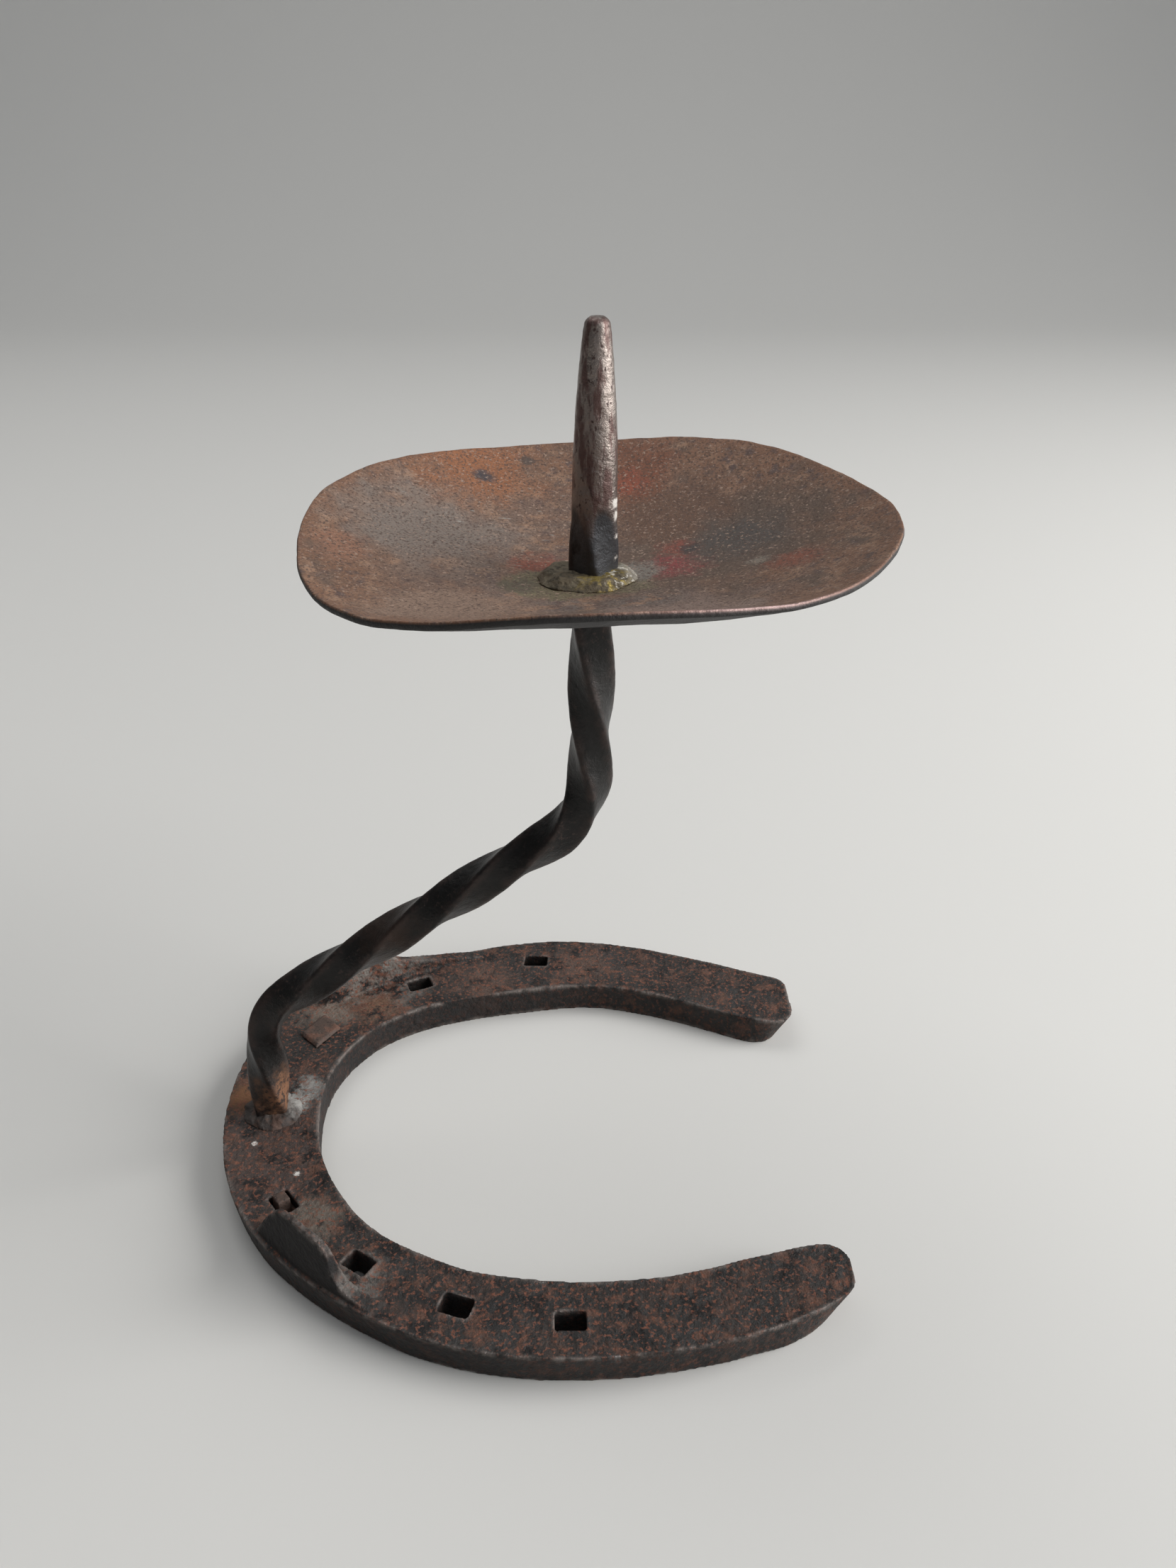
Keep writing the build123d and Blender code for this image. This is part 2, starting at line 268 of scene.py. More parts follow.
def patches(
    tree, place, size, low, high, seed, detail=6.0, stretch=(1.0, 1.0, 1.0), within=None, most=1.0
):
    """A mask of soft-edged patches of about this size in millimetres.

    There is none where the noise is under low, and a whole one where it is over high.
    They keep within another mask, where there is one, and are at most this strong.
    """
    moved = add(
        tree, "ShaderNodeMapping", {"Location": (seed * 0.37, seed * 0.11, seed * 0.23), "Scale": stretch},
        {"Vector": place},
    )
    cloud = add(
        tree, "ShaderNodeTexNoise", {"Scale": 1.0 / (size * MM), "Detail": detail, "Roughness": 0.62},
        {"Vector": moved.outputs[0]},
    )
    mask = add(
        tree, "ShaderNodeMapRange", {"From Min": low, "From Max": high, "To Max": most},
        {"Value": cloud.outputs["Fac"]}, interpolation_type="SMOOTHSTEP",
    ).outputs[0]
    if within is None:
        return mask
    return add(tree, "ShaderNodeMath", {}, {0: mask, 1: within}, operation="MULTIPLY").outputs[0]


def spot(tree, place, middle, inner, outer):
    """A mask that is 1 round a middle and falls to 0 from the inner to the outer radius, its edge ragged."""
    ragged = 0.35 * (inner + outer)  # size of the lumps in its edge
    cloud = add(
        tree, "ShaderNodeTexNoise", {"Scale": 1.0 / (ragged * MM), "Detail": 5.0, "Roughness": 0.68},
        {"Vector": place},
    )
    away = add(tree, "ShaderNodeVectorMath", {1: in_frame(*middle)}, {0: place}, operation="DISTANCE")
    spread = 1.6 * outer * MM  # how far the lumps move the edge, in and out together
    blur = add(
        tree, "ShaderNodeMath", {1: spread, 2: -0.5 * spread}, {0: cloud.outputs["Fac"]},
        operation="MULTIPLY_ADD",
    )
    reach = add(tree, "ShaderNodeMath", {}, {0: away.outputs["Value"], 1: blur.outputs[0]}, operation="ADD")
    return add(
        tree, "ShaderNodeMapRange", {"From Min": outer * MM, "From Max": inner * MM},
        {"Value": reach.outputs[0]}, interpolation_type="SMOOTHSTEP",
    ).outputs[0]


def marks_on(tree, place, marks):
    """Layers for marks: each has a middle, two radii in millimetres, a colour and a finish."""
    return [(spot(tree, place, *mark[:3]), *mark[3:]) for mark in marks]


# A Mix node's inputs A and B and its output, by what it mixes
MIX_SOCKETS = {"RGBA": (6, 7, 2), "FLOAT": (2, 3, 0)}


def worn_metal(tree, base, base_finish, layers, relief):
    """A metal surface with layers over its base and relief in millimetres.

    base is a colour and base_finish its roughness and how metallic it is.
    Each layer is a mask, a colour or hex colour, a roughness and how metallic it is.
    Each relief is a height mask and its depth in millimetres.
    """
    surface = [base, *base_finish]
    for mask, tint, *finish in layers:
        layer = [linear(tint) if isinstance(tint, str) else tint, *finish]
        mixed = []
        for kind, under, over in zip(("RGBA", "FLOAT", "FLOAT"), surface, layer):
            first, second, out = MIX_SOCKETS[kind]
            settings, links = {second: over}, {0: mask}
            # the base is a plain value, and every later layer lies on the one before
            (links if isinstance(under, bpy.types.NodeSocket) else settings)[first] = under
            mixed.append(add(tree, "ShaderNodeMix", settings, links, data_type=kind).outputs[out])
        surface = mixed
    feeds = dict(zip(("Base Color", "Roughness", "Metallic"), surface))
    below = {}
    for height, depth in relief:
        bump = add(
            tree, "ShaderNodeBump", {"Strength": 1.0, "Distance": depth * MM}, {"Height": height, **below}
        )
        below = {"Normal": bump.outputs[0]}
    shader = add(tree, "ShaderNodeBsdfPrincipled", {}, {**feeds, **below})
    add(tree, "ShaderNodeOutputMaterial", {}, {"Surface": shader.outputs[0]})


# Marks on the shoe's upper side: middle, inner and outer radius, colour, roughness, how metallic
SHOE_MARKS = [
    ((-64.0, -15.0, 8.5), 8.0, 24.0, "#4c403b", 0.7, 0.2),  # browner toe
    ((-47.0, 54.1, 10.0), 7.0, 19.0, "#7d766f", 0.6, 0.3),  # grey rubbed field by the far clip
    ((-58.3, 41.2, 8.5), 3.0, 12.0, "#776a5f", 0.65, 0.2),
    ((-44.4, 43.5, 8.5), 2.0, 10.0, "#6e5240", 0.8, 0.0),
    ((-13.5, 55.5, 8.5), 3.0, 13.0, "#56443b", 0.8, 0.0),
    ((15.0, 63.7, 8.5), 3.0, 13.0, "#56443b", 0.8, 0.0),
    ((-34.8, -53.8, 8.5), 3.0, 9.0, "#726c66", 0.6, 0.3),  # grey beside the near clip
    ((-47.5, -37.7, 8.5), 3.0, 9.0, "#6b6157", 0.65, 0.2),
    ((-2.6, -63.9, 8.5), 2.0, 6.0, "#2b2928", 0.5, 0.3),  # dark smear by the third hole
    ((-73.2, 4.3, 8.5), 2.0, 8.0, "#7a5438", 0.85, 0.0),  # orange rust at the bar's foot
    ((-59.3, 3.2, 9.0), 1.5, 6.0, "#9b9994", 0.8, 0.0),  # pale weld deposit
    ((-57.5, 8.8, 8.5), 1.5, 6.0, "#85827d", 0.8, 0.0),
    ((-66.9, -12.4, 8.5), 0.4, 1.0, "#dad5ce", 0.6, 0.0),  # specks of wax
    ((-54.0, -22.8, 8.5), 0.4, 1.0, "#dad5ce", 0.6, 0.0),
    ((24.0, -76.4, 8.2), 0.8, 2.6, "#9c9692", 0.4, 0.6),  # bright nicks on the outer edge
    ((12.0, -77.2, 8.2), 0.8, 2.6, "#9c9692", 0.4, 0.6),
]


def forged_shoe_steel(settings):
    """Low-carbon steel, hot forged and long rusted: dull grey-brown scale with grains of orange rust."""
    material, tree, place, arris, pitted, painted_wall_shade = new_tree(
        "low_carbon_steel_hot_forged_and_rusted", "arris", "pitted", "painted_wall_shade"
    )
    some = partial(patches, tree, place)
    speckled = some(22.0, 0.22, 0.5, 4)
    layers = [
        # broad fields where the scale is paler from wear
        (some(24.0, 0.48, 0.7, 1), "#403d3b", 0.55, 0.4),
        # brown rust bloom under the grains
        (some(12.0, 0.5, 0.68, 2), "#41352f", 0.8, 0.1),
    ]
    layers += marks_on(tree, place, SHOE_MARKS)
    layers += [
        # darker islands of unbroken scale
        (some(7.0, 0.5, 0.62, 10), "#242221", 0.55, 0.4),
        # soft blooms of rust 3 to 5 mm across
        (some(4.5, 0.5, 0.66, 9, within=speckled, most=0.8), "#674738", 0.85, 0.0),
        # grains of orange rust, 1 to 2 mm across
        (some(1.1, 0.52, 0.62, 3, within=speckled, most=0.9), settings.rust, 0.9, 0.0),
        # painted shade: the walls and the clips' outer faces are darkened
        (painted_wall_shade, settings.painted_wall_shade, 0.7, 0.2),
        # dark pits
        (some(2.0, 0.56, 0.68, 5, within=pitted), "#1b1817", 0.8, 0.1),
        # pale handling wear on the edges
        (some(6.0, 0.42, 0.62, 6, within=arris, most=0.8), settings.worn, 0.45, 0.6),
    ]
    relief = [
        (some(0.8, 0.2, 0.8, 8), 0.14),
        (some(3.2, 0.3, 0.7, 7), 0.3),
    ]
    worn_metal(tree, settings.scale, (0.62, 0.3), layers, relief)
    return material


FOOT_FACET = (-61.5, 0.0, 15.0)  # the facet of the bar's foot that faces the heels
# Marks on the bar
BAR_MARKS = [
    (FOOT_FACET, 3.5, 9.5, "#80593f", 0.8, 0.1),  # orange rust
    ((22.0, -4.0, 160.0), 6.5, 9.5, "#4b4c4e", 0.45, 0.6),  # blue-grey facet under the pricket
    ((-66.0, 2.0, 45.0), 2.0, 10.0, "#33241f", 0.5, 0.4),  # brown rubs
    ((-30.0, 0.0, 66.0), 2.0, 12.0, "#33261f", 0.45, 0.5),
]


# Flecks of candle wax at the pricket's foot
WAX_FLECKS = [
    ((23.2, -2.0, 170.2), 0.7, 1.5, "#d9d3ca", 0.5, 0.0),
    ((23.6, -1.8, 167.6), 0.6, 1.3, "#d9d3ca", 0.5, 0.0),
    ((23.9, -1.8, 163.2), 0.4, 1.0, "#d9d3ca", 0.5, 0.0),
    ((24.2, -1.8, 158.4), 0.6, 1.4, "#d9d3ca", 0.5, 0.0),
    ((14.2, -2.4, 165.2), 0.5, 1.3, "#cdc6bb", 0.5, 0.0),
    ((16.2, -5.0, 157.4), 0.5, 1.4, "#bdb6aa", 0.5, 0.0),
    ((21.8, -5.2, 156.8), 0.5, 1.4, "#bdb6aa", 0.5, 0.0),
]


def blackened_bar_steel(settings):
    """Mild steel, twisted hot and blackened: satin dark scale, browner where it has rubbed."""
    material, tree, place, arris, drawn_out = new_tree(
        "mild_steel_hot_twisted_and_blackened", "arris", "drawn_out"
    )
    some = partial(patches, tree, place)
    browned = some(18.0, 0.45, 0.6, 13)
    foot_rust = spot(tree, place, FOOT_FACET, 6.0, 12.0)
    layers = [
        # warmer fields in the scale, and brown specks within broader ones
        (some(9.0, 0.48, 0.7, 11), "#2e2a28", 0.42, 0.6),
        (some(1.0, 0.56, 0.66, 12, within=browned), "#3c2f2a", 0.6, 0.3),
    ]
    layers += marks_on(tree, place, BAR_MARKS)
    layers += [
        (some(3.5, 0.35, 0.66, 14, within=arris, most=0.55), settings.arris, 0.42, 0.6),
        # the pricket is drawn out to bright steel that has oxidised in streaks
        (drawn_out, settings.pricket, 0.3, 0.9),
        (some(2.4, 0.46, 0.6, 15, stretch=(1.0, 1.0, 0.25), within=drawn_out, most=0.85),
         "#5a3f3a", 0.42, 0.6),
        (some(0.9, 0.56, 0.66, 18, stretch=(1.0, 1.0, 0.6), within=drawn_out), "#43302c", 0.5, 0.4),
        # dark pits in the foot's rust
        (some(1.2, 0.48, 0.6, 19, within=foot_rust), "#35271f", 0.7, 0.1),
    ]
    layers += marks_on(tree, place, WAX_FLECKS)
    relief = [
        (some(0.5, 0.2, 0.8, 16), 0.045),
        (some(2.6, 0.3, 0.7, 17), 0.1),
    ]
    worn_metal(tree, settings.scale, (0.38, 0.75), layers, relief)
    return material


# Marks on the pan's inside
PAN_MARKS = [
    ((-18.0, 16.0, 159.5), 8.0, 26.0, "#84776d", 0.5, 0.2),  # grey rubbed field on the left
    ((47.0, 12.0, 158.0), 14.0, 32.0, "#655346", 0.55, 0.2),  # painted shade: the right is darker, here and in the next two marks
    ((36.0, 30.0, 160.0), 8.0, 20.0, "#6d5140", 0.55, 0.2),
    ((50.0, 14.0, 158.5), 3.0, 16.0, "#57504b", 0.5, 0.3),
    ((36.0, -34.0, 159.5), 8.0, 22.0, "#8f7a6f", 0.5, 0.3),  # paler grey along the front
    ((-10.0, 48.0, 165.0), 6.0, 20.0, "#94603f", 0.6, 0.1),  # orange rust along the far rim
    ((28.0, 50.0, 163.4), 5.0, 17.0, "#7d4f38", 0.6, 0.1),
    ((-33.0, -3.0, 162.0), 2.0, 9.0, "#8e6650", 0.6, 0.1),
    ((-10.0, -26.0, 157.0), 5.0, 22.0, "#8d7463", 0.5, 0.2),
    ((35.6, 4.9, 154.5), 2.0, 9.0, "#874340", 0.55, 0.1),  # red oxide round the braze
    ((37.0, 15.0, 155.5), 1.0, 6.0, "#84483a", 0.55, 0.1),
    ((59.8, -5.8, 159.9), 1.5, 8.0, "#85503d", 0.55, 0.1),
    ((27.9, 45.0, 162.5), 2.0, 7.0, "#8f4c34", 0.55, 0.1),
    ((7.5, 7.0, 154.2), 2.0, 9.0, "#874b39", 0.55, 0.1),
    ((-6.8, 44.5, 163.9), 1.0, 3.6, "#474043", 0.5, 0.2),  # dark blotches
    ((3.4, 53.6, 165.1), 0.8, 2.6, "#574a42", 0.5, 0.2),
    ((39.9, 14.0, 156.0), 0.8, 3.6, "#443d3c", 0.5, 0.2),
    ((8.5, -4.5, 154.0), 6.5, 9.5, "#7a7055", 0.55, 0.15),  # olive flux stain beyond the braze
    ((14.0, -8.0, 154.0), 5.0, 8.5, "#6f654c", 0.55, 0.15),
    ((3.5, -6.0, 154.0), 2.5, 5.5, "#625a48", 0.55, 0.15),
    ((25.5, -5.0, 154.0), 4.0, 7.5, "#766c55", 0.55, 0.15),
    ((28.0, 4.0, 154.0), 3.5, 7.0, "#7c756c", 0.6, 0.1),
    ((53.1, -0.1, 157.7), 1.0, 3.6, "#84796c", 0.6, 0.1),
]


def rusted_sheet_steel(settings):
    """Mild steel sheet, beaten cold: thin matt brown rust over grey steel, redder near the braze."""
    material, tree, place, arris, under, middle, rim_glint_and_wear = new_tree(
        "mild_steel_sheet_beaten_and_rusted", "arris", "under", "middle", "rim_glint_and_wear"
    )
    some = partial(patches, tree, place)
    layers = [
        # grey steel rubbed bare towards the middle
        (some(20.0, 0.3, 0.66, 21, within=middle), settings.bare, 0.5, 0.4),
        # paler and darker blooms of rust, 3 to 11 mm across
        (some(11.0, 0.5, 0.7, 22), "#6d5a4d", 0.55, 0.3),
        (some(5.5, 0.5, 0.66, 71), "#9c7a62", 0.55, 0.2),
        (some(3.2, 0.53, 0.68, 72), "#63504a", 0.5, 0.3),
    ]
    layers += marks_on(tree, place, PAN_MARKS)
    scratched = spot(tree, place, (-4.0, 24.0, 159.0), 12.0, 26.0)
    layers += [
        # fine dark and pale grain of the rusted skin, 0.6 to 0.8 mm across
        (some(0.6, 0.48, 0.66, 23, detail=3.0), "#56433a", 0.6, 0.2),
        (some(0.8, 0.56, 0.7, 28, detail=3.0), "#a88f7e", 0.55, 0.3),
        # short pale scratches left of the pricket
        (some(1.6, 0.64, 0.7, 29, stretch=(0.3, 1.2, 1.0), within=scratched), "#aaa39b", 0.5, 0.5),
        (some(9.0, 0.4, 0.6, 24, within=arris), "#8a6048", 0.45, 0.5),
        # painted shade: the underside is darkened
        (under, settings.under, 0.6, 0.3),
        # the rim's bright stretch at the front right: rubbed metal with a painted highlight
        (rim_glint_and_wear, settings.rim_glint_and_wear, 0.35, 0.7),
    ]
    relief = [
        (some(0.7, 0.2, 0.8, 26), 0.1),
        (some(3.5, 0.3, 0.7, 27), 0.2),
    ]
    worn_metal(tree, settings.rust, (0.52, 0.3), layers, relief)
    return material


def brazing_brass(settings):
    """Brazing brass, run on hot and left rough: dull olive flux skin with bright yellow at its thickest."""
    material, tree, place = new_tree("brazing_brass_run_and_oxidised")
    some = partial(patches, tree, place)
    thickest = spot(tree, place, (21.5, -5.5, 155.5), 3.0, 6.5)
    whitened = spot(tree, place, (26.0, -3.0, 155.5), 4.0, 8.0)
    layers = [
        (some(4.0, 0.46, 0.66, 31), "#766b56", 0.6, 0.2),
        (some(1.6, 0.48, 0.64, 32), "#433b2c", 0.7, 0.2),
        # painted highlight: a pale grey-tan spot on the braze's side towards the window
        (spot(tree, place, (27.0, 2.0, 155.0), 2.0, 6.0), "#8a8377", 0.6, 0.2),
        (some(2.2, 0.4, 0.56, 35, within=thickest), settings.brass, 0.4, 0.7),
        # crumbs of white flux
        (some(1.2, 0.54, 0.62, 34, within=whitened), "#c9c2b4", 0.6, 0.0),
    ]
    relief = [(some(0.8, 0.2, 0.8, 33), 0.14)]
    worn_metal(tree, settings.flux, (0.55, 0.4), layers, relief)
    return material


def weld_metal(settings):
    """Arc weld bead, left unground: brown steel with grey-white slag in its hollows."""
    material, tree, place = new_tree("steel_arc_weld_unground")
    some = partial(patches, tree, place)
    layers = [
        (some(4.0, 0.45, 0.6, 41), "#5c473d", 0.8, 0.1),
        (spot(tree, place, (-59.0, 2.5, 10.0), 2.0, 7.0), settings.slag, 0.85, 0.0),
    ]
    relief = [(some(1.0, 0.2, 0.8, 43), 0.2)]
    worn_metal(tree, settings.weld, (0.7, 0.2), layers, relief)
    return material


def nail_steel(settings):
    """Soft nail steel, hammered and rusted: brown with a rubbed face."""
    material, tree, place = new_tree("soft_steel_nail_hammered")
    some = partial(patches, tree, place)
    layers = [
        (some(3.0, 0.45, 0.6, 51), "#66493c", 0.85, 0.0),
        (some(1.2, 0.58, 0.68, 52), "#2b2422", 0.8, 0.1),
    ]
    relief = [(some(0.7, 0.2, 0.8, 53), 0.12)]
    worn_metal(tree, settings.nail, (0.62, 0.3), layers, relief)
    return material


def stage_paper(settings):
    """Matt card: a plain pale ground with no gloss."""
    material, tree, place = new_tree("matt_card")
    # the card's tooth is drawn at 1.5 mm, because its real 0.2 mm is too fine to show
    tooth = add(tree, "ShaderNodeTexNoise", {"Scale": 1.0 / (1.5 * MM), "Detail": 3.0}, {"Vector": place})
    shader = add(tree, "ShaderNodeBsdfPrincipled", {"Base Color": settings.floor, "Roughness": 0.9})
    bump = add(
        tree, "ShaderNodeBump", {"Strength": 0.3, "Distance": 0.05 * MM}, {"Height": tooth.outputs["Fac"]}
    )
    tree.links.new(bump.outputs[0], shader.inputs["Normal"])
    add(tree, "ShaderNodeOutputMaterial", {}, {"Surface": shader.outputs[0]})
    return material


# --- settings
class ShoeSettings(bpy.types.PropertyGroup):
    """Sizes and colours of the horseshoe."""

    voxel: length_property("Skin step", "Distance between the points of the shoe's skin", 0.42)
    heave: length_property("Heave", "Depth of the broad hollows that forging left", 0.22)
    pitting: length_property("Pitting", "Depth of the rust pits", 0.1)
    burr: length_property("Burr", "Height of the burred outer edge of the near branch", 0.5)
    scale: colour_property("Scale", "Forging scale", "#302e2c")
    # painted shade: the dark colour of the walls and the clips' outer faces
    painted_wall_shade: colour_property("Walls", "Dark scale on the walls and the clips' outer faces", "#181514")
    rust: colour_property("Rust", "Grains of orange rust", "#7c4e3c")
    worn: colour_property("Worn edge", "Edges rubbed by handling", "#7f7670")


class BarSettings(bpy.types.PropertyGroup):
    """Sizes and colours of the twisted bar and its pricket."""

    side: length_property("Side", "Side of the square stock", 8.0)
    foot_turn: FloatProperty(
        name="Foot turn", description="Angle of the square at the foot", subtype="ANGLE", unit="ROTATION",
        default=radians(20.0),
    )
    hammering: length_property("Hammering", "Depth of the hammer marks", 0.12)
    scale: colour_property("Scale", "Smooth black scale", "#2b2a29")
    arris: colour_property("Arris", "Rubbed, reddish arrises", "#4a3b36")
    pricket: colour_property("Pricket", "Drawn-out steel of the pricket", "#938881")


class PanSettings(bpy.types.PropertyGroup):
    """Sizes and colours of the drip pan."""

    radius: length_property("Radius", "Mean radius of the rim", 60.7)
    sheet: length_property("Sheet", "Thickness of the sheet, measured upright", 1.5)
    dishing: FloatProperty(name="Dishing", description="Power of the rise from middle to rim", default=2.1)
    hole: length_property("Hole", "Side of the square hole for the bar", 8.4)
    dents: IntProperty(name="Dents", description="Number of hammer marks", default=420, min=0)
    dent_depth: length_property("Dent depth", "Depth of a hammer mark", 0.15)
    rust: colour_property("Rust", "Brown rust on the inside", "#86634d")
    bare: colour_property("Bare steel", "Rubbed steel towards the middle", "#766b64")
    # painted shade: the underside's dark colour
    under: colour_property("Underside", "Dark scale below", "#2b2928")
    # rubbed metal with a painted highlight along the rim's front right
    rim_glint_and_wear: colour_property("Bright edge", "Rim rubbed bright at the front right", "#b59a95")


class JoinSettings(bpy.types.PropertyGroup):
    """Sizes and colours of the braze, the weld and the nail stubs."""

    voxel: length_property("Skin step", "Distance between the points of a small piece's skin", 0.25)
    lumps: length_property("Lumps", "Depth of the lumps on the braze and the weld", 0.45)
    flux: colour_property("Flux skin", "Dull olive skin on the braze", "#605441")
    brass: colour_property("Brass", "Bare brazing brass", "#a5904f")
    weld: colour_property("Weld", "Weld metal", "#47403c")
    slag: colour_property("Slag", "Pale slag on the weld", "#95928d")
    nail: colour_property("Nail", "Hammered nail steel", "#55463e")


class StageSettings(bpy.types.PropertyGroup):
    """Floor, light and camera."""

    floor: colour_property("Floor", "Pale matt floor", "#d9d7d2")
    window_power: FloatProperty(name="Window", description="Large light's power", unit="POWER", default=24.0)
    fill_power: FloatProperty(name="Fill", description="Overhead light's power", unit="POWER", default=6.0)
    sky: FloatProperty(name="Bright side", description="Room light on the window's side", default=0.7)
    dim_sky: FloatProperty(name="Dim side", description="Room light on the other side", default=0.07)
    seen_sky: FloatProperty(name="Backdrop", description="Brightness of the room as seen", default=0.55)


# --- operators
class CANDLESTICK_OT_horseshoe(bpy.types.Operator):
    """Forge the horseshoe: a fine skin over its frame node, heaved and pitted"""

    bl_idname = "candlestick.horseshoe"
    bl_label = "Horseshoe"

    # places and sizes in millimetres, in the frame's own directions
    heave_size = 14.0  # distance between the broad hollows
    pit_size = 1.6
    unpitted = 0.15  # noise under this leaves no pit
    clip_root = (8.6, 9.4)  # heights between which a clip takes over from the flat upper side
    paler_heels = (-20.0, 40.0) # stretch along the shoe in which the walls' painted shade gets lighter
    far_clip = (38.0, 44.0)  # strip across the shoe beyond which the far clip stands
    near_branch = (-30.0, -50.0)
    burr_rise = (6.5, 8.3)  # heights between which the near wall's burr grows

    def execute(self, context):
        settings = context.scene.candlestick_shoe
        mesh, points, normals = fine_skin("horseshoe", settings.voxel, 2)
        along, across, height = points.copy().T
        arris = edge_mask(mesh, points, normals, settings.voxel, 2)
        heave = grain(points, self.heave_size * MM, 2, 1)
        pits = np.clip(grain(points, self.pit_size * MM, 2, 2), self.unpitted, 1.0) - self.unpitted
        pitted = np.clip(pits * 5.0, 0.0, 1.0)
        # how far a face looks outward: the clips' inner faces don't take the walls' painted shade
        outward = (points[:, :2] * normals[:, :2]).sum(axis=1) / np.hypot(along, across)
        clip = between(height, self.clip_root)
        inner_face = clip * ease(outward, 0.1, -0.3)
        # painted shade on upright faces, the clips' outer faces included, lighter towards the heels
        painted_wall_shade = ease(np.abs(normals[:, 2]), 0.8, 0.35) * (1.0 - inner_face)
        painted_wall_shade *= 0.78 + 0.2 * clip - 0.3 * between(along, self.paler_heels)
        # the far clip's edge isn't rubbed pale
        arris *= 1.0 - 0.8 * between(across, self.far_clip) * clip
        near_wall = between(across, self.near_branch) * between(height, self.burr_rise)
        points += normals * (heave * settings.heave - pits * settings.pitting * 2.0)[:, None]
        points[:, 2] += near_wall * arris * settings.burr * (0.6 + 0.4 * heave)
        # the outer edge swells a little, on the far side beyond the bar's foot
        away = np.linalg.norm(points[:, :2] - np.array(in_frame(*SWELL_MIDDLE, 0.0))[:2], axis=1)
        swell = SWELL * MM * np.exp(-((away / (SWELL_REACH * MM)) ** 2))
        points[:, :2] += swell[:, None] * np.array(SWELL_WAY)
        points[:, 2] = np.maximum(points[:, 2], 0.0)
        finish_piece(
            "Horseshoe_forged", points, faces_of(mesh), forged_shoe_steel(settings), "horseshoe",
            {"arris": arris, "pitted": pitted, "painted_wall_shade": painted_wall_shade},
        )
        return {"FINISHED"}


class CANDLESTICK_OT_twisted_bar(bpy.types.Operator):
    """Bend and twist the square bar and draw its end out into the round pricket"""

    bl_idname = "candlestick.twisted_bar"
    bl_label = "Twisted bar and pricket"

    around = 72  # points in a ring
    step = 0.4  # distance between rings in millimetres
    squareness = 8.0  # power that rounds the arrises of the square
    run_out = 18.0  # power that blends the facets into the taper
    let_out = (2.0, 8.0)  # how much the taper widens to clear the square, and over what height
    flats_widen = 0.17  # share by which the flats widen as they run out
    sharp_from = (1.02, 1.28)  # reach of the square over its half side, from flat to arris
    drawn_from = (-0.5, 0.1)  # square less taper, in millimetres, as the bright steel begins

    def walk(self):
        """The bar's middle line in its upright plane.

        Gives its places and headings, the step between them and the length up to the pricket's foot.
        """
        places = []
        headings = []
        corners = [Vector(corner) for corner in BAR_PATH]
        straights = [after - before for before, after in zip(corners, corners[1:])]
        turns = [atan2(run.y, run.x) for run in straights]
        cuts = [0.0]
        cuts += [radius * tan(abs(b - a) / 2) for radius, a, b in zip(BAR_BENDS, turns, turns[1:])]
        cuts += [0.0]
        marks = [0.0]
        angles = [turns[0]]
        for index, run in enumerate(straights):
            marks.append(marks[-1] + run.length - cuts[index] - cuts[index + 1])
            angles.append(turns[index])
            if index < len(BAR_BENDS):
                marks.append(marks[-1] + BAR_BENDS[index] * abs(turns[index + 1] - turns[index]))
                angles.append(turns[index + 1])
        length = marks[-1] + PRICKET_TIP - PRICKET_FOOT
        count = round(length / self.step)
        place = corners[0].copy()
        for index in range(count + 1):
            distance = index * length / count
            heading = float(np.interp(distance, marks, angles))
            places.append(place.copy())
            headings.append(heading)
            ahead = float(np.interp(distance + 0.5 * length / count, marks, angles))
            place += Vector((cos(ahead), sin(ahead))) * length / count
        return np.array([tuple(place) for place in places]), np.array(headings), length / count, marks[-1]

    def execute(self, context):
        settings = context.scene.candlestick_bar
        places, headings, step, twisted = self.walk()
        distances = np.arange(len(places)) * step
        turns = np.full(len(places), settings.foot_turn)
        start = 0.0
        for stretch, quarter in BAR_TWIST:
            turns -= pi / 2 * np.clip(distances - start, 0.0, stretch) / quarter
            start += stretch
        heights = PRICKET_FOOT + distances - twisted
        angles = np.linspace(0.0, 2 * pi, self.around, endpoint=False)
        half = settings.side / MM / 2
        power, blend = self.squareness, self.run_out
        square = np.abs(np.cos(angles)) ** power + np.abs(np.sin(angles)) ** power
        square = half * square ** (-1.0 / power)
        middle_height = (PRICKET_FOOT + PRICKET_TIP) / 2
        fit = np.polyfit([h - middle_height for h, _ in PRICKET_TAPER], [w for _, w in PRICKET_TAPER], 5)
        taper = np.polyval(fit, np.clip(heights, PRICKET_FOOT, PRICKET_TIP) - middle_height)
        more, below = self.let_out
        taper += more * ease(heights, PRICKET_FOOT, PRICKET_FOOT - below)
        rounding = np.clip((heights - PRICKET_TIP + TIP_ROUNDING) / TIP_ROUNDING, 0.0, 1.0)
        blunt = np.sqrt(1.0 - (TIP_DRAW_IN * rounding) ** 2)
        widened = 1.0 + self.flats_widen * ease(heights, *FACET_END)
        rings = []
        masks = {"arris": [], "drawn_out": []}
        sharp = ease(square / half, *self.sharp_from)
        for place, heading, turn, height, cone, spread, end in zip(
            places, headings, turns, heights, taper, widened, blunt
        ):
            reach = ((square * spread) ** -blend + cone ** -blend) ** (-1.0 / blend) * end
            across = reach * np.cos(angles + turn)
            along = reach * np.sin(angles + turn)
            rings.append(
                np.stack([place[0] - along * sin(heading), across, place[1] + along * cos(heading)], axis=-1)
            )
            drawn = ease(square * spread - cone, *self.drawn_from)
            drawn *= float(ease(height, PRICKET_FOOT, FACET_END[1]))
            masks["arris"].append(sharp * (1.0 - drawn))
            masks["drawn_out"].append(drawn)
        points = np.concatenate(rings)
        middle_line = np.stack([places[:, 0], 0 * places[:, 0], places[:, 1]], axis=-1)
        middle = np.repeat(middle_line, self.around, axis=0)
        outward = points - middle
        outward /= np.linalg.norm(outward, axis=1)[:, None]
